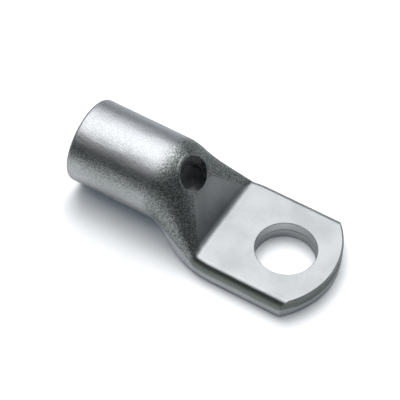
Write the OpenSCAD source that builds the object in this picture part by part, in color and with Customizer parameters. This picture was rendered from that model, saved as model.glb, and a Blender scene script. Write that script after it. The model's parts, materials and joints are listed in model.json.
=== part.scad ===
// Tubular cable lug: one plated copper tube, left round at the cable end and pressed
// flat at the other end into a palm with a stud hole.
// Units are mm. +X runs from the barrel to the tip of the palm, +Z is up.
// The origin is the middle of the stud hole, on the underside of the palm.

/* [Barrel] */
// outer diameter of the tube
barrel_od = 15; // [14.2:0.1:16]
// bore that takes the cable
bore_d = 11.2; // [10.6:0.1:11.8]
// distance from the stud hole to the open end
barrel_reach = 38.7; // [32:0.1:50]
// rounding round the outside of the open end
mouth_round = 0.6; // [0.2:0.05:0.9]
// lead-in chamfer inside the open end
mouth_lead = 0.4; // [0.2:0.05:0.6]

/* [Palm] */
// thickness of the two walls pressed together
palm_t = 3.8; // [3.6:0.1:4.2]
// width across the folded sides
palm_w = 20.9; // [20:0.1:21.6]
// stud hole diameter
stud_d = 10.5; // [8.4:0.1:11]
// distance from the stud hole to the tip
tip_reach = 9; // [8:0.1:12]
// radius of the arc that ends the palm
tip_r = 14.2; // [12:0.1:20]
// rounding where that arc meets the sides
corner_r = 1.2; // [0.6:0.1:2]
// rounding along the folded sides
fold_r = 0.7; // [0.4:0.05:1]
// countersink that breaks the edges of the stud hole
edge_break = 0.15; // [0.05:0.05:0.3]

/* [Pressed neck] */
// distance from the stud hole to the line where the slope meets the palm
bend_reach = 12.1; // [11.5:0.1:16]
// angle of the pressed slope
slope = 53.5; // [48:0.5:60]
// radius over the shoulder at the top of the slope
shoulder_r = 4.6; // [2:0.1:5]
// radius in the bend at the foot of the slope
bend_r = 1.2; // [0.6:0.1:2]
// distance from the stud hole to where the sides of the palm become straight
flat_reach = 9; // [7:0.1:10]
// distance from the stud hole to the point where the flat of the slope begins
ramp_reach = 19.4; // [18:0.1:20]
// how soon the lower corners square up against the anvil, 1 for evenly along the neck
anvil_squaring = 2.9; // [1:0.1:3]

/* [Inspection hole] */
// distance from the stud hole to the middle of the inspection hole
sight_reach = 18.1; // [17.8:0.1:19]
// length along the lug
sight_l = 3.7; // [2.6:0.1:4]
// width across the lug, which pressing has drawn out
sight_w = 6.4; // [4:0.1:6.6]

/* [Seam] */
// height of the seam between the two walls, where it shows on a cut edge
seam_gap = 0.12; // [0.06:0.02:0.2]
// how far the seam is open behind a cut edge
seam_depth = 0.25; // [0.1:0.05:0.4]

/* [Hidden] */
$fn = 96;
eps = 0.01;
// How far a cutting shape runs past what it cuts.
margin = 1;
barrel_r = barrel_od / 2;
wall = (barrel_od - bore_d) / 2;

// Play of the drawing, not of the lug: where the faceted neck meets the exact barrel, it
// stands this much inside it, so that no two edges coincide.
joint_seat = 0.03;

// Steps of the neck: points on a quarter of a section, and sections over each arc and
// along the straight slope.
quarter_steps = 14;
arc_steps = 7;
slope_steps = 8;
flat_steps = 5;

// Side view of the slope: an arc over the shoulder, a straight run and an arc in the bend.
slope_run = (barrel_od - palm_t) / tan(slope);
shoulder_x = -bend_reach - slope_run - shoulder_r * tan(slope / 2);
bend_end_x = -bend_reach + bend_r * tan(slope / 2);
shoulder_end_x = shoulder_x + shoulder_r * sin(slope);
bend_x = bend_end_x - bend_r * sin(slope);

// Angle at which the top of the neck falls at a place along the lug.
function fall(x) =
    x < shoulder_end_x ? asin((x - shoulder_x) / shoulder_r)
    : x < bend_x ? slope
    : asin(max(bend_end_x - x, 0) / bend_r);

// Height of the top of the neck at a place along the lug.
function top(x) =
    x < shoulder_end_x ? barrel_od - shoulder_r * (1 - cos(fall(x)))
    : x < bend_x ? palm_t + (-bend_reach - x) * tan(slope)
    : palm_t + bend_r * (1 - cos(fall(x)));

// Width of a section. The sides swing out from the barrel to the palm in one soft curve.
function width(x) =
    let (along = min((x - shoulder_x) / (-flat_reach - shoulder_x), 1))
    barrel_od + (palm_w - barrel_od) * (1 - cos(180 * along)) / 2;

// Radius of the lower corners: the barrel's in a full section, the folds' in a flat one.
function lower_corner(x) =
    let (roundness = (top(x) - palm_t) / (barrel_od - palm_t))
    fold_r + (barrel_r - fold_r) * pow(roundness, anvil_squaring);

// The flat of the slope is a triangle: half its width grows evenly from its point to the
// bend. The upper corners take what it leaves, so the top is an arch before that point.
function flat_half(x) =
    (palm_w / 2 - fold_r) * min(max((x + ramp_reach) / (ramp_reach - bend_reach), 0), 1);
function upper_corner(x) = max(min(width(x) / 2 - flat_half(x), top(x) - lower_corner(x)), fold_r);

// Rounded rectangle in the plane across the lug, standing on height z0. Each quarter is
// an arc, and one straight edge joins it to the next, so a full circle works as well.
function section(x, z0, w, h, upper_r, lower_r) = [
    for (q = [0 : 3], i = [0 : quarter_steps])
        let (
            a = 90 * (q + (i + 0.5) / (quarter_steps + 1)),
            sy = (q == 0 || q == 3) ? 1 : -1,
            sz = (q < 2) ? 1 : -1,
            r = (q < 2) ? upper_r : lower_r
        )
        [x, sy * (w / 2 - r) + r * cos(a), z0 + h / 2 + sz * (h / 2 - r) + r * sin(a)]
];

// Outer skin of the pressed end, and the cavity inside it. The wall keeps its thickness
// square to the slope, so the cavity closes before the bend, where the two walls meet.
// A seat makes the wall thinner by that much on both sides.
function skin(x, seat) =
    section(
        x, seat, width(x) - 2 * seat, top(x) - 2 * seat, upper_corner(x) - seat, lower_corner(x) - seat
    );
function gap(x) = top(x) - wall / cos(fall(x)) - wall;
function hollow(x, seat) =
    let (h = gap(x) + 2 * seat)
    section(x, wall - seat, width(x) - 2 * (wall - seat), h, h / 2, h / 2);

// Stations along the pressed end, closer together round the two arcs.
function arc_stations(x_from, angle_from, angle_to, r) = [
    for (i = [1 : arc_steps])
        x_from + r * (sin(angle_from + (angle_to - angle_from) * i / arc_steps) - sin(angle_from))
];
skin_stations = concat(
    [shoulder_x],
    arc_stations(shoulder_x, 0, slope, shoulder_r),
    [for (i = [1 : slope_steps]) shoulder_end_x + (bend_x - shoulder_end_x) * i / slope_steps],
    arc_stations(bend_x, -slope, 0, bend_r),
    [for (i = [1 : flat_steps]) bend_end_x + (-flat_reach - bend_end_x) * i / flat_steps],
    [tip_reach + margin]
);
least_gap = 0.25;
hollow_stations = [for (x = skin_stations) if (x < bend_x && gap(x) > least_gap) x];

// Point i of ring k, counted through one list of rings that follow each other.
ring = 4 * (quarter_steps + 1);
function at(k, i) = k * ring + i % ring;

// Round tube to flat palm in one skin, with the cavity that runs out inside it. It runs
// on past the tip, where the outline of the palm cuts it.
module pressed_tube() {
    skins = len(skin_stations);
    rings = skins + len(hollow_stations);
    points = concat(
        [for (x = skin_stations) each skin(x, x == shoulder_x ? joint_seat : 0)],
        [for (x = hollow_stations) each hollow(x, x == shoulder_x ? joint_seat : 0)]
    );
    outside = [
        for (k = [0 : skins - 2], i = [0 : ring - 1])
            each [[at(k, i), at(k + 1, i), at(k + 1, i + 1)], [at(k, i), at(k + 1, i + 1), at(k, i + 1)]]
    ];
    inside = [
        for (k = [skins : rings - 2], i = [0 : ring - 1])
            each [[at(k, i), at(k + 1, i + 1), at(k + 1, i)], [at(k, i), at(k, i + 1), at(k + 1, i + 1)]]
    ];
    barrel_end = [for (i = [0 : ring - 1]) [at(0, i), at(0, i + 1), at(skins, i + 1), at(skins, i)]];
    palm_end = [for (i = [ring - 1 : -1 : 0]) at(skins - 1, i)];
    hollow_end = [for (i = [0 : ring - 1]) at(rings - 1, i)];
    polyhedron(points, concat(outside, inside, barrel_end, [palm_end, hollow_end]));
}

// Half section of the barrel's wall, with its open end at the bottom.
module barrel_wall(length) {
    difference() {
        translate([barrel_r - wall, 0])
            square([wall, length]);
        translate([barrel_r - mouth_round, 0])
            difference() {
                square(mouth_round);
                translate([0, mouth_round])
                    circle(mouth_round);
            }
        polygon([
            [barrel_r - wall - eps, 0],
            [barrel_r - wall + mouth_lead, 0],
            [barrel_r - wall - eps, mouth_lead + eps]
        ]);
    }
}

module barrel() {
    translate([-barrel_reach, 0, barrel_r])
        rotate([0, 90, 0])
            rotate_extrude()
                barrel_wall(barrel_reach + shoulder_x);
}

// Outline of the pressed end seen from above: an arc across the tip of the palm, rounded
// into both sides.
tip_centre = tip_reach - tip_r;
side_y = palm_w / 2 + joint_seat;
corner_y = side_y - corner_r;
corner_x = tip_centre + sqrt(pow(tip_r - corner_r, 2) - pow(corner_y, 2));
corner_turn = asin(corner_y / (tip_r - corner_r));

module outline() {
    translate([shoulder_x - margin, -side_y])
        square([corner_x - shoulder_x + margin, 2 * side_y]);
    for (side = [-1, 1])
        translate([corner_x, side * corner_y])
            circle(corner_r);
    translate([tip_centre, 0])
        intersection() {
            circle(tip_r, $fn = 2 * $fn);
            polygon([
                [0, 0],
                [2 * tip_r * cos(corner_turn), -2 * tip_r * sin(corner_turn)],
                [2 * tip_r * cos(corner_turn), 2 * tip_r * sin(corner_turn)]
            ]);
        }
}

module pressed_end() {
    intersection() {
        pressed_tube();
        translate([0, 0, -margin])
            linear_extrude(barrel_od + 2 * margin)
                outline();
    }
}

// Hole for the stud, with its two edges broken.
module stud_hole() {
    translate([0, 0, -margin])
        cylinder(h = palm_t + 2 * margin, d = stud_d);
    translate([0, 0, -eps])
        cylinder(h = edge_break + eps, d1 = stud_d + 2 * edge_break + 2 * eps, d2 = stud_d);
    translate([0, 0, palm_t - edge_break])
        cylinder(h = edge_break + eps, d1 = stud_d, d2 = stud_d + 2 * edge_break + 2 * eps);
}

// Hole that shows how far the cable has gone in. It passes through the upper wall only,
// and pressing has drawn the round hole out sideways into an oval.
module sight_hole() {
    translate([-sight_reach, 0, 2 * wall])
        scale([sight_l / sight_w, 1, 1])
            cylinder(h = barrel_od, d = sight_w);
}

// The seam between the two walls, open where the stud hole and the tip cut across it.
module seam() {
    seam_w = palm_w - 2 * wall;
    translate([0, 0, (palm_t - seam_gap) / 2]) {
        cylinder(h = seam_gap, r = stud_d / 2 + seam_depth);
        intersection() {
            translate([tip_centre, 0, 0])
                difference() {
                    cylinder(h = seam_gap, r = tip_r + margin, $fn = 2 * $fn);
                    translate([0, 0, -margin])
                        cylinder(h = seam_gap + 2 * margin, r = tip_r - seam_depth, $fn = 2 * $fn);
                }
            translate([0, -seam_w / 2, 0])
                cube([tip_reach + margin, seam_w, seam_gap]);
        }
    }
}

module cable_lug() {
    color("silver")
        difference() {
            union() {
                barrel();
                pressed_end();
            }
            stud_hole();
            sight_hole();
            seam();
        }
}

cable_lug();
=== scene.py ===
# %% [markdown]
# # A cable lug, from tube to finished part
# A tubular cable lug starts as a short length of copper tube. One end stays round and is
# crimped on a cable. The other end is pressed flat into a palm, which is punched for a
# stud, and the whole lug is then plated with tin. This lesson follows the same order: a
# tube is drawn out and pressed, the holes are cut, and the finish comes last.
#
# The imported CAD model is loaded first. It fixes the place and the main sizes, so what is
# modelled here lies over it and only softens its folds.

# %% Load the frame
import json
import math
from collections import namedtuple

import bmesh
import bpy
from mathutils import Matrix, Vector


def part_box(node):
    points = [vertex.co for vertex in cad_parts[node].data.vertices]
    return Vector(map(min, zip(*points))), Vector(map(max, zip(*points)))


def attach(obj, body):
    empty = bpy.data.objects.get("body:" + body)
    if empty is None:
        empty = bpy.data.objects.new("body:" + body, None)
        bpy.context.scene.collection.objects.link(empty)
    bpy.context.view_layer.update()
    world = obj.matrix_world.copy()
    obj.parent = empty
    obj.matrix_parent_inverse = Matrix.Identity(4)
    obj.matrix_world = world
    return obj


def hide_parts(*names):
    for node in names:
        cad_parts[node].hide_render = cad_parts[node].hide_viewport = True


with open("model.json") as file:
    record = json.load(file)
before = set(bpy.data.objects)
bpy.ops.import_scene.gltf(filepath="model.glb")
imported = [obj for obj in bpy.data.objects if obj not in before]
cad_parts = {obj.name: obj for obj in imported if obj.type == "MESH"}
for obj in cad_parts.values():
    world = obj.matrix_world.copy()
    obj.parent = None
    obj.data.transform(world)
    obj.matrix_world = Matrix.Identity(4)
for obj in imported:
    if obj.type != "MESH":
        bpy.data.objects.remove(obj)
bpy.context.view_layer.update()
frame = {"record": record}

# %% [markdown]
# ## Sizes
# What the CAD model can tell is read from it: the box gives the tube and the palm, and the
# record's mounts give the two bores and the thickness of the palm. The shape of the
# pressed neck isn't in the record, so it is written out here, in millimetres, and turned
# into metres at once.

# %% Sizes from the frame
MM = 0.001
low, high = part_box("cable_lug")
mounts = {mount["name"]: mount for mount in frame["record"]["mounts"]}

barrel_r = (high.z - low.z) / 2
palm_half = high.y
mouth_x = low.x
tip_x = high.x
palm_t = mounts["palm_top"]["pos_m"][2]
stud_r = mounts["stud_hole"]["dims"]["r_mm"] * MM
bore_r = mounts["cable_bore"]["dims"]["r_mm"] * MM
wall = barrel_r - bore_r
print(f"tube {barrel_r * 2000:.1f} mm, palm {palm_half * 2000:.1f} by {palm_t * 1000:.1f} mm")

# %% Sizes of the pressed neck
slope = math.radians(53.5)
shoulder_r = 4.6 * MM
bend_r = 1.7 * MM
bend_x = -12.1 * MM  # where the slope and the palm would meet in a sharp corner
flat_x = -9 * MM  # where the palm reaches its full width
ramp_x = -19.4 * MM  # the point of the triangular flat on the slope
upper_fold_r = 1.5 * MM
lower_fold_r = 0.9 * MM
anvil_squaring = 2.9  # the larger, the sooner the anvil squares the lower corners
flank_share = 0.45  # how far the upper corners stretch down the flanks

shoulder_x = bend_x - (2 * barrel_r - palm_t) / math.tan(slope) - shoulder_r * math.tan(slope / 2)
shoulder_end_x = shoulder_x + shoulder_r * math.sin(slope)
bend_end_x = bend_x + bend_r * math.tan(slope / 2)
bend_start_x = bend_end_x - bend_r * math.sin(slope)
print(f"the neck runs from x = {shoulder_x * 1000:.1f} to {flat_x * 1000:.1f} mm")

# %% [markdown]
# ## The form of the neck
# A press closes the tube between a flat anvil and a sloping die. In side view the top
# falls over a shoulder, down a straight slope and through a bend. It could be shaped by
# eye with proportional editing, but two short formulas keep it exact and easy to change.

# %% Side view of the neck
def fall(x):
    """Angle at which the top falls at x."""
    if x < shoulder_x:
        return 0
    if x < shoulder_end_x:
        return math.asin((x - shoulder_x) / shoulder_r)
    if x < bend_start_x:
        return slope
    return math.asin(max(bend_end_x - x, 0) / bend_r)


def top(x):
    """Height of the top at x."""
    if x < shoulder_end_x:
        return 2 * barrel_r - shoulder_r * (1 - math.cos(fall(x)))
    if x < bend_start_x:
        return palm_t + (bend_x - x) * math.tan(slope)
    return palm_t + bend_r * (1 - math.cos(fall(x)))


print(f"slope from {top(shoulder_end_x) * 1000:.1f} down to {top(bend_start_x) * 1000:.1f} mm")

# %% [markdown]
# In each section across the lug, four quarter circles stay of the round tube. Pressing
# shrinks them and slides them apart into the corners of a rounded rectangle. So six
# numbers say all of a section: the level of its foot, half its width, its height, how wide
# and how tall its upper corners are, and the radius of its lower ones.

# %% Sections across the neck
Section = namedtuple("Section", "foot half height wide tall lower")


def half_width(x):
    """The sides swing out from the barrel to the palm in one soft curve."""
    along = min(max((x - shoulder_x) / (flat_x - shoulder_x), 0), 1)
    return barrel_r + (palm_half - barrel_r) * (1 - math.cos(math.pi * along)) / 2


def flat_half(x):
    """The flat of the slope is a triangle that widens from its point to the bend."""
    return (palm_half - upper_fold_r) * min(max((x - ramp_x) / (bend_x - ramp_x), 0), 1)


def skin(x):
    """The section of the outside at x."""
    roundness = (top(x) - palm_t) / (2 * barrel_r - palm_t)
    lower = lower_fold_r + (barrel_r - lower_fold_r) * roundness ** anvil_squaring
    room = top(x) - lower
    wide = max(min(half_width(x) - flat_half(x), room), upper_fold_r)
    tall = wide + flank_share * (room - wide)
    return Section(0, half_width(x), top(x), wide, tall, lower)


def hollow(x):
    """The section of the cavity at x, one wall inside the skin."""
    height = top(x) - wall / math.cos(fall(x)) - wall
    corner = height / 2
    return Section(wall, half_width(x) - wall, height, corner, corner, corner)


halfway = skin((shoulder_end_x + bend_start_x) / 2)
print(f"half way down the slope: {halfway.half * 2000:.1f} by {halfway.height * 1000:.1f} mm")

# %% [markdown]
# ## Tools for working in edit mode
# Operators act on what is selected, so each step selects first. By hand that is a box
# drawn round some points. In code a place in space says which points are meant: all those
# at some x, or in one corner of a section.

# %% Edit mode helpers
weld_reach = 0.001 * MM
same_place = 0.0001 * MM


def pick(thing):
    """Makes one object the only one that is selected, and the active one."""
    bpy.ops.object.select_all(action="DESELECT")
    bpy.context.view_layer.objects.active = thing
    thing.select_set(True)


def begin(name):
    """Names the new primitive, takes its place into its mesh and opens it."""
    bpy.context.object.name = name
    bpy.ops.object.transform_apply(location=True, rotation=True, scale=True)
    bpy.ops.object.mode_set(mode="EDIT")
    bpy.ops.mesh.select_mode(type="VERT")


def select(wanted):
    """Selects the points whose place passes the test."""
    bpy.ops.mesh.select_all(action="DESELECT")
    mesh = bmesh.from_edit_mesh(bpy.context.edit_object.data)
    for point in mesh.verts:
        if wanted(point.co):
            point.select_set(True)
    mesh.select_flush(True)
    bmesh.update_edit_mesh(bpy.context.edit_object.data)


def select_ring(x):
    """Selects the points that lie at x."""
    select(lambda p: abs(p.x - x) < same_place)


def close_mesh():
    """Merges doubles, turns the faces outwards and leaves edit mode."""
    bpy.ops.mesh.select_all(action="SELECT")
    bpy.ops.mesh.remove_doubles(threshold=weld_reach)
    bpy.ops.mesh.normals_make_consistent(inside=False)
    bpy.ops.object.mode_set(mode="OBJECT")
    made = bpy.context.object
    size = " x ".join(f"{side * 1000:.2f}" for side in made.dimensions)
    print(f"{made.name}: {len(made.data.polygons)} faces, {size} mm")
    return made


print(f"points within {weld_reach / MM:.3f} mm of each other are merged")

# %% [markdown]
# ## Drawing out the tube
# The tube could be a cylinder that is bent with a lattice, but then no size would be sure.
# Here it is drawn out as on a rolling bench: a ring of points is extruded to the next
# station, and there each quarter of it is resized about the middle of its own corner and
# slid to its new place. The quarters never share a point, so the ring is a full circle in
# the barrel and a flat bar in the palm, with straight edges between its corners.

# %% Reshape a ring, one corner at a time
def corner_of(section, side, level):
    """Middle, width and height of one corner of a section, at side and level -1 or 1."""
    if level > 0:
        z = section.foot + section.height - section.tall
        return side * (section.half - section.wide), z, section.wide, section.tall
    radius = section.lower
    return side * (section.half - radius), section.foot + radius, radius, radius


def reshape(x, old, new):
    """Takes the ring at x from one section to the next."""
    split = old.foot + (old.height - old.tall + old.lower) / 2
    for side in (-1, 1):
        for level in (-1, 1):
            y, z, wide, tall = corner_of(old, side, level)
            new_y, new_z, new_wide, new_tall = corner_of(new, side, level)
            select(
                lambda p: abs(p.x - x) < same_place and p.y * side > 0 and (p.z - split) * level > 0
            )
            grow = (1, new_wide / wide, new_tall / tall)
            bpy.ops.transform.resize(value=grow, center_override=(x, y, z))
            bpy.ops.transform.translate(value=(0, new_y - y, new_z - z))


def round_section(radius):
    """A full circle round the axis of the barrel, as a section."""
    return Section(barrel_r - radius, radius, 2 * radius, radius, radius, radius)


one_corner = corner_of(round_section(barrel_r), 1, 1)
print("upper corner of the round section in mm:", [round(v * 1000, 2) for v in one_corner])

# %% Draw out a tube, station by station
ring_points = 112


def draw_tube(name, first, stations):
    """first is (x, section) of a round end, and stations are the same for what follows."""
    x, section = first
    half_step = math.pi / ring_points
    bpy.ops.object.select_all(action="DESELECT")
    bpy.ops.mesh.primitive_circle_add(
        vertices=ring_points,
        radius=section.half,
        location=(x, 0, barrel_r),
        rotation=(0, math.pi / 2, 0),
    )
    begin(name)
    # Turned by half a step, the ring has no point on the line between two quarters.
    bpy.ops.mesh.select_all(action="SELECT")
    bpy.ops.transform.rotate(value=half_step, orient_axis="X", center_override=(x, 0, barrel_r))
    bpy.ops.mesh.edge_face_add()
    for new_x, new_section in stations:
        select_ring(x)
        bpy.ops.mesh.extrude_region_move(TRANSFORM_OT_translate={"value": (new_x - x, 0, 0)})
        reshape(new_x, section, new_section)
        x, section = new_x, new_section
    select_ring(x)


print("points in a ring:", ring_points)

# %% [markdown]
# The stations lie close together over the shoulder and in the bend, where the form turns,
# and further apart on the straight slope. Even steps of angle do that by themselves.

# %% Stations along the neck
def arc_stations(start, first_angle, last_angle, radius, steps):
    """Stations at even steps of angle round an arc of the side view."""
    turns = [first_angle + (last_angle - first_angle) * i / steps for i in range(1, steps + 1)]
    return [start + radius * (math.sin(turn) - math.sin(first_angle)) for turn in turns]


def even_stations(start, stop, steps):
    """Stations at even steps along a straight stretch."""
    return [start + (stop - start) * i / steps for i in range(1, steps + 1)]


neck = [shoulder_x]
neck += arc_stations(shoulder_x, 0, slope, shoulder_r, steps=14)
neck += even_stations(shoulder_end_x, bend_start_x, steps=14)
neck += arc_stations(bend_start_x, -slope, 0, bend_r, steps=8)
neck += even_stations(bend_end_x, flat_x, steps=8)
print(len(neck), "stations in the neck")

# %% [markdown]
# The outside starts at the mouth, whose edge is rounded with a bevel. It ends a little
# past the tip, because the palm is trimmed later, as on the real lug.

# %% The outside, from the mouth to past the tip
margin = 1 * MM
mouth_round = 0.6 * MM

outside_start = (mouth_x, round_section(barrel_r))
draw_tube("lug", outside_start, [(x, skin(x)) for x in neck + [tip_x + margin]])
bpy.ops.mesh.edge_face_add()
select_ring(mouth_x)
bpy.ops.mesh.bevel(offset=mouth_round, segments=6, affect="EDGES")
lug = close_mesh()

# %% [markdown]
# ## The tools that cut it
# Each hole is cut by a solid of its own, which is taken away at the end. The first is the
# inside of the tube. A Solidify modifier could hollow the tube out as well, but not where
# the two walls meet. So the inside is drawn out just like the outside, with a wider start
# that leaves a lead-in at the mouth, and it ends where the gap between the walls closes.

# %% The inside
mouth_lead = 0.4 * MM
least_gap = 0.25 * MM

cavity = [x for x in neck if hollow(x).height > least_gap and x < bend_start_x]
inside_start = (mouth_x - margin, round_section(bore_r + mouth_lead + margin))
lead_end = (mouth_x + mouth_lead, round_section(bore_r))
draw_tube("inside", inside_start, [lead_end] + [(x, hollow(x)) for x in cavity])
bpy.ops.mesh.edge_face_add()
inside = close_mesh()
print(f"the cavity ends at x = {cavity[-1] * 1000:.1f} mm")

# %% [markdown]
# The other cutters are turned. Their outline is drawn point by point, by extruding a
# single point, and then spun round an axis. A cylinder would be quicker, but an outline
# carries what the tool leaves behind: the rounded edges on both faces of the palm.

# %% Draw, close and spin an outline
def draw_outline(name, points):
    """Draws a chain of edges through the points, and leaves it open in edit mode."""
    bpy.ops.object.select_all(action="DESELECT")
    bpy.ops.mesh.primitive_plane_add(size=margin, location=points[0])
    begin(name)
    bpy.ops.mesh.select_all(action="SELECT")
    bpy.ops.mesh.merge(type="CENTER")
    for here, there in zip(points, points[1:]):
        step = Vector(there) - Vector(here)
        bpy.ops.mesh.extrude_region_move(TRANSFORM_OT_translate={"value": step})
    bpy.ops.mesh.select_all(action="SELECT")


def close_outline():
    """Joins the ends of the chain, and leaves the whole loop of edges selected."""
    bpy.ops.mesh.edge_face_add()
    bpy.ops.mesh.delete(type="ONLY_FACE")
    bpy.ops.mesh.select_all(action="SELECT")


def spin(angle, x, y, steps):
    """Spins what is selected counterclockwise about an upright axis through x and y."""
    bpy.ops.mesh.spin(steps=steps, angle=angle, center=(x, y, 0), axis=(0, 0, -1))


# %% [markdown]
# Punching and trimming round an edge a little. A bevel could do that after the cut, but
# the cutter can do it at once, if its outline swings outwards in a small arc before it
# leaves the metal. The arc stops short of a right angle, so that it never lies flat on the
# face that it has to cut.

# %% The rounded edge of a cut
def edge_of_cut(radius, height, rounding):
    """The outline of a cutter at an upper edge, as (distance outwards, height)."""
    steps = 5
    last = math.radians(75)
    run_out = 0.05 * MM
    turns = [last * i / steps for i in range(steps + 1)]
    arc = [
        (radius + rounding * (1 - math.cos(turn)), height - rounding * (1 - math.sin(turn)))
        for turn in turns
    ]
    reach, up = arc[-1]
    arc.append((reach + run_out, up + run_out / math.tan(last)))
    return arc + [(reach + run_out, height + margin)]


rim_r = 0.15 * MM
upper_edge = edge_of_cut(stud_r, palm_t, rim_r)
lower_edge = [(reach, palm_t - height) for reach, height in reversed(upper_edge)]
print(f"the punch widens from {stud_r * 2000:.1f} to {upper_edge[-1][0] * 2000:.2f} mm")

# %% [markdown]
# The stud hole is punched through both walls. The two walls of the tube lie on each other
# half way up, and the line between them shows in the wall of the hole. The punch has a
# thin collar there, which cuts the line as a narrow groove.

# %% The punch for the stud hole
seam_gap = 0.12 * MM
seam_depth = 0.25 * MM
seam_z = palm_t / 2

collar = [
    (stud_r, seam_z - seam_gap / 2),
    (stud_r + seam_depth, seam_z - seam_gap / 2),
    (stud_r + seam_depth, seam_z + seam_gap / 2),
    (stud_r, seam_z + seam_gap / 2),
]
punch_outline = [(0, -margin)] + lower_edge + collar + upper_edge + [(0, palm_t + margin)]
draw_outline("punch", [(reach, 0, height) for reach, height in punch_outline])
spin(2 * math.pi, 0, 0, steps=128)
punch = close_mesh()

# %% [markdown]
# The tip of the palm is trimmed by a blade of the same kind, which runs round the outline
# of the tip: a small arc at the corner, the wide arc across the tip, and the other corner.
# The small arcs touch the side and the wide arc without a kink, so spinning the blade
# about three centres in turn makes one smooth path.

# %% The blade that trims the tip
tip_r = 14.2 * MM
corner_r = 1.2 * MM
edge_r = 0.4 * MM
blade_l = 6 * MM
side_y = palm_half + 0.01 * MM  # just outside, so that the blade doesn't scrape the side

tip_centre = tip_x - tip_r
corner_y = side_y - corner_r
corner_x = tip_centre + math.sqrt((tip_r - corner_r) ** 2 - corner_y**2)
corner_turn = math.asin(corner_y / (tip_r - corner_r))

upper_cut = [(-reach, height) for reach, height in edge_of_cut(0, palm_t, edge_r)]
lower_cut = [(reach, palm_t - height) for reach, height in reversed(upper_cut)]
blade_outline = lower_cut + upper_cut + [(blade_l, palm_t + margin), (blade_l, -margin)]
draw_outline("blade", [(corner_x, -side_y - reach, height) for reach, height in blade_outline])
close_outline()
spin(math.pi / 2 - corner_turn, corner_x, -corner_y, steps=10)
spin(2 * corner_turn, tip_centre, 0, steps=72)
spin(math.pi / 2 - corner_turn, corner_x, corner_y, steps=10)
bpy.ops.mesh.edge_face_add()
select(lambda p: abs(p.x - corner_x) < same_place and p.y < 0)
bpy.ops.mesh.edge_face_add()
blade = close_mesh()

# %% [markdown]
# The line between the walls shows across the tip too, but not at its ends, where the
# folded sides of the tube close it. A thin saw on the same wide arc cuts it.

# %% The saw for the seam across the tip
seam_half = palm_half - wall
seam_turn = math.asin(seam_half / tip_r)
same_turn = 0.0001
saw_start = Vector((math.cos(seam_turn), -math.sin(seam_turn), 0))
saw_section = [
    (tip_r - seam_depth, -seam_gap / 2),
    (tip_r + margin, -seam_gap / 2),
    (tip_r + margin, seam_gap / 2),
    (tip_r - seam_depth, seam_gap / 2),
]
saw_middle = Vector((tip_centre, 0, seam_z))
upwards = Vector((0, 0, 1))
draw_outline("saw", [saw_middle + saw_start * reach + upwards * up for reach, up in saw_section])
close_outline()
spin(2 * seam_turn, tip_centre, 0, steps=60)
bpy.ops.mesh.edge_face_add()
select(lambda p: p.y < 0 and abs(math.atan2(-p.y, p.x - tip_centre) - seam_turn) < same_turn)
bpy.ops.mesh.edge_face_add()
saw = close_mesh()

# %% [markdown]
# The fitter looks through the inspection hole to see that the cable is in to its end. It
# is an oval, so a cylinder that is squeezed along the lug is all that the drill needs. It
# starts above the lower wall and goes out through the top.

# %% The drill for the inspection hole
sight_x = -18.1 * MM
sight_half_l = 1.85 * MM
sight_half_w = 3.2 * MM

drill_l = 2 * barrel_r - 2 * wall + margin
bpy.ops.object.select_all(action="DESELECT")
bpy.ops.mesh.primitive_cylinder_add(
    vertices=80,
    radius=sight_half_w,
    depth=drill_l,
    location=(sight_x, 0, 2 * wall + drill_l / 2),
    scale=(sight_half_l / sight_half_w, 1, 1),
)
begin("drill")
drill = close_mesh()

# %% [markdown]
# Now the cutters are taken away, each with a Boolean modifier that is applied at once. The
# exact solver is the slow one, but it is sure where a cutter touches the lug at a glancing
# angle, and it leaves the mesh closed.

# %% Cut
def apply_modifier(thing, name, kind, settings):
    """Adds a modifier to an object, gives it its settings and applies it."""
    pick(thing)
    modifier = thing.modifiers.new(name, kind)
    for setting, value in settings.items():
        setattr(modifier, setting, value)
    bpy.ops.object.modifier_apply(modifier=modifier.name)


for cutter in (inside, punch, blade, saw, drill):
    cutting = {"object": cutter, "operation": "DIFFERENCE", "solver": "EXACT"}
    apply_modifier(lug, cutter.name, "BOOLEAN", cutting)
    print(f"cut with the {cutter.name}: {len(lug.data.polygons)} faces")
    bpy.data.objects.remove(cutter)

# %% [markdown]
# ## The rim of the inspection hole
# A drill leaves a sharp rim, and the plating that follows rounds it a little. The rim is
# the loop of edges between the wall of the hole, whose faces stand upright, and the skin,
# whose faces look up. A bevel takes that loop and nothing else.

# %% Round the rim
sight_rim_r = 0.3 * MM
rim_reach = 1.5 * sight_half_l
upright = 0.05  # the most that the normal of an upright face rises
looking_up = 0.3  # the least that the normal of the skin rises there


def select_rim():
    """Selects the edges of the hole where an upright face meets one that looks up."""
    bpy.ops.mesh.select_mode(type="EDGE")
    bpy.ops.mesh.select_all(action="DESELECT")
    mesh = bmesh.from_edit_mesh(bpy.context.edit_object.data)
    count = 0
    for edge in mesh.edges:
        middle = (edge.verts[0].co + edge.verts[1].co) / 2
        if abs(middle.x - sight_x) > rim_reach or middle.z < barrel_r:
            continue
        rises = sorted(face.normal.z for face in edge.link_faces)
        if abs(rises[0]) < upright and rises[-1] > looking_up:
            edge.select_set(True)
            count += 1
    bmesh.update_edit_mesh(bpy.context.edit_object.data)
    return count


bpy.ops.object.mode_set(mode="EDIT")
print("edges in the rim:", select_rim())
bpy.ops.mesh.bevel(offset=sight_rim_r, segments=3, affect="EDGES", clamp_overlap=True)
bpy.ops.mesh.select_mode(type="VERT")
close_mesh()

# %% [markdown]
# ## Shading
# The mesh has long faces beside short ones, and plain smooth shading would bend the light
# where they meet. Edges sharper than 35 degrees stay sharp, and a Weighted Normal modifier
# lets the large faces decide the rest, so flats look flat up to their rounded edges.

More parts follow.
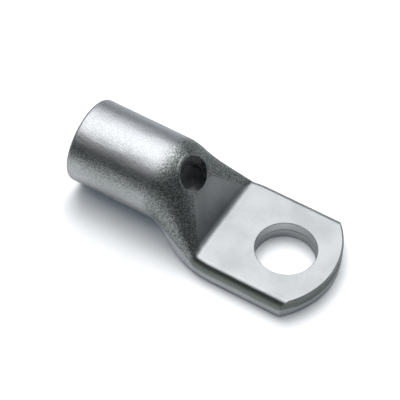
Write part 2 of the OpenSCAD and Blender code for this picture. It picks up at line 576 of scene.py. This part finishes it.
# %% Smooth the shading
sharpest = math.radians(35)
pick(lug)
bpy.ops.object.shade_smooth_by_angle(angle=sharpest)
apply_modifier(lug, "weighting", "WEIGHTED_NORMAL", {"keep_sharp": True})
print("rounded and smoothed:", len(lug.data.polygons), "faces")

# %% [markdown]
# ## Shader nodes as sums
# A finish like this one needs more than a hundred nodes, and most of them only add,
# multiply and compare. They could be laid out by hand in the shader editor, but as sums in
# Python they are far easier to read. A small class holds one output of a node and
# overloads the operators, so that an expression on masks adds its Math nodes by itself.

# %% The class that writes the nodes
class Field:
    """A number, vector, colour or shader that one output of a node gives."""

    def __init__(self, tree, socket=None):
        self.tree = tree
        self.socket = socket

    def node(self, kind, settings, sockets, output=0):
        """Adds a node: its settings first, then its sockets. An output node gives None."""
        made = self.tree.nodes.new(kind)
        for name, value in settings.items():
            setattr(made, name, value)
        for name, value in sockets.items():
            if isinstance(value, Field):
                self.tree.links.new(value.socket, made.inputs[name])
            else:
                made.inputs[name].default_value = value
        return Field(self.tree, made.outputs[output]) if made.outputs else None

    def math(self, operation, *values):
        """Adds a Math node."""
        return self.node("ShaderNodeMath", {"operation": operation}, dict(enumerate(values)))

    def __add__(self, other):
        return self.math("ADD", self, other)

    def __sub__(self, other):
        return self.math("SUBTRACT", self, other)

    def __rsub__(self, other):
        return self.math("SUBTRACT", other, self)

    def __mul__(self, other):
        return self.math("MULTIPLY", self, other)

    def __truediv__(self, other):
        return self.math("DIVIDE", self, other)

    def __rtruediv__(self, other):
        return self.math("DIVIDE", other, self)

    def __abs__(self):
        return self.math("ABSOLUTE", self)

    __radd__ = __add__
    __rmul__ = __mul__

    def step(self, start, stop):
        """A soft step, 0 up to start and 1 from stop on."""
        sockets = {"Value": self, "From Min": start, "From Max": stop}
        return self.node("ShaderNodeMapRange", {"interpolation_type": "SMOOTHSTEP"}, sockets)


# %% [markdown]
# Masks are numbers from 0 to 1 over the surface. They meet in two more ways than a sum:
# where either of two holds, and as a distance from a middle.

# %% Helpers for masks
def either(one, other):
    """A mask that is 1 where one of two masks is."""
    return one.math("MAXIMUM", one, other)


def distance(across, along):
    """Distance from the place where both fields are 0."""
    squares = across * across + along * along
    return squares.math("SQRT", squares)


# %% [markdown]
# Every material starts from the place on the piece. Object coordinates are used, and not a
# map of the surface, because a pattern on them has its true size and no seams.

# %% Helpers for materials
def empty_tree(owner):
    """Clears the nodes of a material or a world, and gives a field to start from."""
    owner.use_nodes = True
    owner.node_tree.nodes.clear()
    return Field(owner.node_tree)


def new_material(name):
    """An empty material, and its place in millimetres as a field."""
    material = bpy.data.materials.new(name)
    place = empty_tree(material).node("ShaderNodeTexCoord", {}, {}, output="Object")
    to_millimetres = {0: place, "Scale": 1 / MM}
    return material, place.node("ShaderNodeVectorMath", {"operation": "SCALE"}, to_millimetres)


def mix_colours(factor, first, second):
    """A colour between two others. Inputs 6 and 7 and output 2 of a Mix node are colours."""
    sockets = {0: factor, 6: first, 7: second}
    return factor.node("ShaderNodeMix", {"data_type": "RGBA"}, sockets, output=2)


def noise(place, scale, detail, roughness=0.5, stretch=(1, 1, 1)):
    """Noise from 0 to 1. scale is in features a millimetre."""
    stretched = place.node("ShaderNodeMapping", {}, {"Vector": place, "Scale": stretch})
    sockets = {"Vector": stretched, "Scale": scale, "Detail": detail, "Roughness": roughness}
    return place.node("ShaderNodeTexNoise", {}, sockets)


tin, place = new_material("tin_plate")
x, y, z = (place.node("ShaderNodeSeparateXYZ", {}, {0: place}, output=axis) for axis in "XYZ")
print("nodes to start from:", len(tin.node_tree.nodes))

# %% [markdown]
# ## The finish: tin on pressed copper
# Electroplated tin is a soft grey metal. Where the copper was left as drawn, on the barrel
# and on the corners of the neck, it has a fine grain like orange peel. Where the dies
# pressed it, on the palm and down the middle of the slope, the grain is ironed out. The
# two could be separate materials, but their border is soft. So one mask says where the
# dies touched, and the grain, the waviness and the roughness follow it.
#
# A mask is made of soft steps. Each goes from one place to another, and these pairs are
# named first, in millimetres.

# %% Where the dies pressed
flat_border = (0, 1.6)
slope_start = (-17.6, -15.4)
palm_start = (bend_x / MM - 0.4, bend_x / MM + 0.8)

slope_share = (x - ramp_x / MM) / ((bend_x - ramp_x) / MM)
inside_flat = slope_share * ((palm_half - upper_fold_r) / MM) - abs(y)
on_slope = inside_flat.step(*flat_border) * x.step(*slope_start)
on_palm = x.step(*palm_start)
pressed = either(on_slope, on_palm)
drawn = 1 - pressed
print("nodes for the mask of the dies:", len(tin.node_tree.nodes))

# %% [markdown]
# Two places have a mask of their own. The metal was stretched most in the neck, so its
# grain opens there, down to a smooth strip along the foot that the anvil supported. The
# same mask also darkens the colour of the neck above that strip, which is painted shade.
# And the drill left a fine lip on the inspection hole, on the side of the barrel.

# %% The neck and the lip
neck_start = (-24, -20)
neck_end = (-12.5, -11)
foot_fall = 0.4  # the strip gets lower towards the palm
foot_z = -2.9
foot_border = (-0.4, 0.8)

above_foot = z + x * foot_fall - foot_z
in_neck = x.step(*neck_start) * (1 - x.step(*neck_end)) * above_foot.step(*foot_border) * drawn

lip_start = (1.0, 1.08)  # 1 is the rim of the hole
lip_end = (1.1, 1.3)
lip_z = (6, 7)
lip_side = (-0.4, 0.4)

across_hole = (x - sight_x / MM) / (sight_half_l / MM)
along_hole = y / (sight_half_w / MM)
hole_ring = distance(across_hole, along_hole)
lip = hole_ring.step(*lip_start) * (1 - hole_ring.step(*lip_end)) * z.step(*lip_z)
lip = lip * (1 - across_hole.step(*lip_side))
print("nodes with the neck and the lip:", len(tin.node_tree.nodes))

# %% [markdown]
# The grain is a height, not a colour: noise feeds a Bump node, whose distance says how
# deep it is, a few hundredths of a millimetre. Slow waves under it break up the edge of
# the highlight, as drawing a tube leaves them, long along the tube and short across it.
# Where the dies pressed, fine rubbing marks take their place. Real displacement would need
# millions of faces for the same look.

# %% Grain, waves and rubbing
bump_depth = 0.03 * MM

grain = noise(place, scale=4.2, detail=3.0, roughness=0.6)
waves = noise(place, scale=0.45, detail=1.0, stretch=(0.45, 1, 1))
rubbing = noise(place, scale=4.0, detail=3.0, roughness=0.6, stretch=(0.5, 1.2, 1))

grain_height = 0.45 + drawn * 1.3 + in_neck * 1.2
wave_height = 0.3 + drawn * 2.4
rubbing_height = pressed * 0.6 + on_slope * 0.7
lip_height = 3.5
height = grain * grain_height + waves * wave_height + rubbing * rubbing_height + lip * lip_height
bump = place.node("ShaderNodeBump", {}, {"Height": height, "Distance": bump_depth, "Strength": 1.0})
print("nodes with the bump:", len(tin.node_tree.nodes))

# %% [markdown]
# Tin dulls unevenly. It is dark in the pits of the grain, most of all in the neck. Shade is
# painted into the colour as well: over the neck, on the slope, on the flanks and the
# underside of the barrel, and along the upper fold of the palm, where the metal shows the
# dark room or the floor in shadow. Painting this by hand would need a texture, so
# each place has a mask instead, and their sum mixes two colours.

# %% Where the tin is dull, and where shade is painted
bore_border = (bore_r / MM + 0.1, bore_r / MM + 0.5)
barrel_end = (-23, -20)
foot_of_barrel = (2.5, 8.5)
flank_start = (5.5, 9)
flank_end = (11.5, 13.2)
flank_pits = (8.5, 11)
beside_stud = (6.4, 7)
fold_x = (-13, -11.5)
fold_start = (1.4, 2.6)
fold_end = (palm_t / MM - 0.4, palm_t / MM - 0.1)
cloud_border = (0.35, 0.7)  # levels of the noise, and not places
pit_border = (0.4, 0.58)

clouds = noise(place, scale=0.22, detail=3.0)
pits = 1 - grain.step(*pit_border)
from_axis = distance(y, z - barrel_r / MM)
in_tube = (1 - from_axis.step(*bore_border)) * (1 - x.step(*neck_start))
on_barrel = (1 - x.step(*barrel_end)) * (1 - in_tube)
# Painted shade: the lower side of the barrel is darkened, standing in for the dim floor that it
# reflects.
underside_shade = (1 - z.step(*foot_of_barrel)) * on_barrel
# Painted shade: a band on the upper flanks of the barrel is darkened, standing in for the dark room
# that it reflects.
flank = z.step(*flank_start) * (1 - z.step(*flank_end)) * on_barrel
from_stud = distance(x, y)
# Painted shade: the upper part of the palm's folded sides and tip is darkened, standing in for the
# dark band they reflect.
fold = from_stud.step(*beside_stud) * x.step(*fold_x) * z.step(*fold_start) * (1 - z.step(*fold_end))

dull_clouds = clouds.step(*cloud_border) * 0.08
dull_pits = pits * (drawn * 0.25 + in_neck * 0.9 + on_palm * 0.03)
# Painted shade: the flat of the slope is darkened, unevenly with the clouds.
painted_slope_shade = on_slope * (1 - on_palm) * (0.3 + clouds * 0.3)
dull_palm = on_palm * (0.22 + clouds * 0.16)
# The band of painted shade on the flanks, with the pits darker in its upper part.
painted_flank_shade = flank * (0.42 + pits * z.step(*flank_pits) * 0.3)
# in_neck * 0.44 is painted shade over the neck.
dullness_and_shade = dull_clouds + dull_pits + in_neck * 0.44 + painted_slope_shade + dull_palm
dullness_and_shade = dullness_and_shade + underside_shade * 0.34 + painted_flank_shade + fold * 0.85
print("nodes with the dull places:", len(tin.node_tree.nodes))

# %% [markdown]
# The patch of the lower wall that is seen through the inspection hole is made paler than
# the rest: painted light, standing in for the light that falls in through the hole. Inside
# the tube the tin is rough, because nothing rubs it there.

# %% Colour and roughness
bright_tin = (0.56, 0.57, 0.59, 1)
dull_and_shaded_tin = (0.14, 0.16, 0.145, 1)
painted_light_tin = (0.78, 0.8, 0.83, 1)
edge_tint = (0.55, 0.56, 0.58, 1)
patch_border = (0.9, 1.0)
patch_foot = (1, 1.6)
patch_top = (7, 9)

under_hole = (1 - hole_ring.step(*patch_border)) * (1 - z.step(*patch_top)) * z.step(*patch_foot)
inside_tube = either(in_tube, under_hole)
# Mixing towards the dark tin gives the dull tin and the painted shade alike.
outside_colour = mix_colours(dullness_and_shade, bright_tin, dull_and_shaded_tin)
# The patch under the hole gets the pale tin: painted light.
colour = mix_colours(under_hole, outside_colour, painted_light_tin)
roughness = 0.34 + clouds * 0.04 + drawn * 0.02 + on_palm * 0.05 + inside_tube * 0.25

metal = place.node(
    "ShaderNodeBsdfPrincipled",
    {},
    {
        "Base Color": colour,
        "Metallic": 1.0,
        "Roughness": roughness,
        "Specular Tint": edge_tint,
        "Normal": bump,
    },
)
metal.node("ShaderNodeOutputMaterial", {}, {"Surface": metal})
lug.data.materials.clear()
lug.data.materials.append(tin)
print("nodes in the tin:", len(tin.node_tree.nodes))

# %% [markdown]
# ## The studio
# Metal shows its surroundings more than itself, so the floor, the lamps and the room are
# built for what they show in the lug.
#
# The floor is matt and nearly white round the lug, and darker further off, where it is
# mostly the metal that sees it. It gives off a little light of its own to whoever looks at
# it, straight, in the metal or through glass, and lights nothing with it. A brighter lamp
# would whiten the floor too, but it would bleach the lug.

# %% Floor
floor_r = 2.0
floor_pale = (0.9, 0.9, 0.9, 1)
floor_deep = (0.42, 0.42, 0.42, 1)
floor_fade = (56, 140)  # millimetres from the middle of the lug
floor_glow = 0.06
glow_colour = (0.55, 0.78, 1, 1)

lug_middle = Vector(((low.x + high.x) / 2, 0, 0))
bpy.ops.object.select_all(action="DESELECT")
bpy.ops.mesh.primitive_circle_add(
    vertices=96, radius=floor_r, fill_type="NGON", location=(0, 0, low.z)
)
begin("floor")
floor = close_mesh()

# %% Paper for the floor
white, floor_place = new_material("white_floor")
between = {0: floor_place, 1: lug_middle / MM}
from_middle = floor_place.node(
    "ShaderNodeVectorMath", {"operation": "DISTANCE"}, between, output="Value"
)
paper_colour = mix_colours(from_middle.step(*floor_fade), floor_pale, floor_deep)
paper = floor_place.node("ShaderNodeBsdfDiffuse", {}, {"Color": paper_colour})
camera_ray, glossy_ray, transmission_ray = (
    floor_place.node("ShaderNodeLightPath", {}, {}, output=name)
    for name in ("Is Camera Ray", "Is Glossy Ray", "Is Transmission Ray")
)
glow_strength = (camera_ray + glossy_ray + transmission_ray) * floor_glow
glow = floor_place.node("ShaderNodeEmission", {}, {"Color": glow_colour, "Strength": glow_strength})
both = glow.node("ShaderNodeAddShader", {}, {0: paper, 1: glow})
both.node("ShaderNodeOutputMaterial", {}, {"Surface": both})
floor.data.materials.append(white)
print("nodes in the floor:", len(white.node_tree.nodes))

# %% [markdown]
# One large soft box hangs over the lug, a little behind it and to its left. It gives the
# long highlight and the soft shadow on the near side. A second, smaller box only lights
# the floor: it is hidden from the metal, which would show it as a second highlight. A
# picture of a whole studio would be quicker, but its lamps can't be tuned one by one.

# %% Two soft boxes
box_distance = 0.5


def soft_box(name, tilt_far, tilt_left, length, width, radiance):
    """A rectangular lamp that faces the middle of the lug from above."""
    way = Vector((-math.tan(tilt_left), math.tan(tilt_far), 1)).normalized()
    turn = way.to_track_quat("Z", "Y").to_euler()
    bpy.ops.object.light_add(type="AREA", location=lug_middle + box_distance * way, rotation=turn)
    lamp = bpy.context.object
    lamp.name = name
    lamp.data.shape = "RECTANGLE"
    lamp.data.size = length
    lamp.data.size_y = width
    lamp.data.energy = radiance * math.pi * length * width
    print(f"{name}: {lamp.data.energy:.2f} W")
    return lamp


soft_box(
    "key_box",
    tilt_far=math.radians(10),
    tilt_left=math.radians(13),
    length=0.74,
    width=0.62,
    radiance=2.2,
)
floor_box = soft_box(
    "floor_box",
    tilt_far=math.radians(27),
    tilt_left=math.radians(16),
    length=0.4,
    width=0.36,
    radiance=3.7,
)
floor_box.visible_glossy = False

# %% [markdown]
# The room is dark round the viewer, which draws the dark band along the barrel and keeps
# the slope dark. It is paler far off, for the far side of the barrel, and a dim card up on
# the right gives the bend its soft line. They could be planes that glow, but the world
# needs only the direction: how far a ray points their way is a dot product.

# %% The room
room_dark = 0.045
room_pale = 0.3
card_pale = 0.5
far_way = Vector((-0.45, 0.89, 0)).normalized()
card_way = Vector((0.68, 0.53, 0.5)).normalized()
far_reach = (0.2, 1.0)
card_reach = (0.94, 0.99)
room_colour = (0.82, 0.91, 1, 1)

world = bpy.data.worlds.new("room")
bpy.context.scene.world = world
ray_way = empty_tree(world).node("ShaderNodeTexCoord", {}, {}, output="Generated")
dot_product = {"operation": "DOT_PRODUCT"}
towards_far, towards_card = (
    ray_way.node("ShaderNodeVectorMath", dot_product, {0: ray_way, 1: way}, output="Value")
    for way in (far_way, card_way)
)
room_light = room_dark + towards_far.step(*far_reach) * (room_pale - room_dark)
room_light = room_light + towards_card.step(*card_reach) * card_pale
room = ray_way.node("ShaderNodeBackground", {}, {"Color": room_colour, "Strength": room_light})
room.node("ShaderNodeOutputWorld", {}, {"Surface": room})
print("nodes in the room:", len(world.node_tree.nodes))

# %% [markdown]
# ## The camera
# A long lens from 300 mm away, about 52 degrees above the floor and 29 degrees round from
# the side, rolled by 2 degrees. A Track To constraint could aim it, but not roll it. So
# its three axes are worked out and give its rotation directly.

# %% Camera
camera_up = math.radians(52.403)
camera_round = math.radians(29.015)
camera_roll = math.radians(2.314)
camera_distance = 300 * MM
camera_target = Vector((-18.738 * MM, 3.690 * MM, 0))

back = Vector((
    math.sin(camera_round) * math.cos(camera_up),
    -math.cos(camera_round) * math.cos(camera_up),
    math.sin(camera_up),
))
level = Vector((math.cos(camera_round), math.sin(camera_round), 0))
upward = back.cross(level)
right = level * math.cos(camera_roll) + upward * math.sin(camera_roll)
above = upward * math.cos(camera_roll) - level * math.sin(camera_roll)

bpy.ops.object.camera_add(location=camera_target + back * camera_distance)
camera = bpy.context.object
camera.rotation_euler = Matrix((right, above, back)).transposed().to_euler()
camera.data.sensor_width = 36
camera.data.lens = 157.19
camera.data.clip_start = 0.01
camera.data.clip_end = 10
bpy.context.scene.camera = camera
bpy.context.scene.view_settings.view_transform = "Standard"
print("camera at", [round(v * 1000, 1) for v in camera.location], "mm")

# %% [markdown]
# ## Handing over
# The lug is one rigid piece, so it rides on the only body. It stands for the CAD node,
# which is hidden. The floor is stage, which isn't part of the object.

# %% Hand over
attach(lug, "root")
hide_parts("cable_lug")
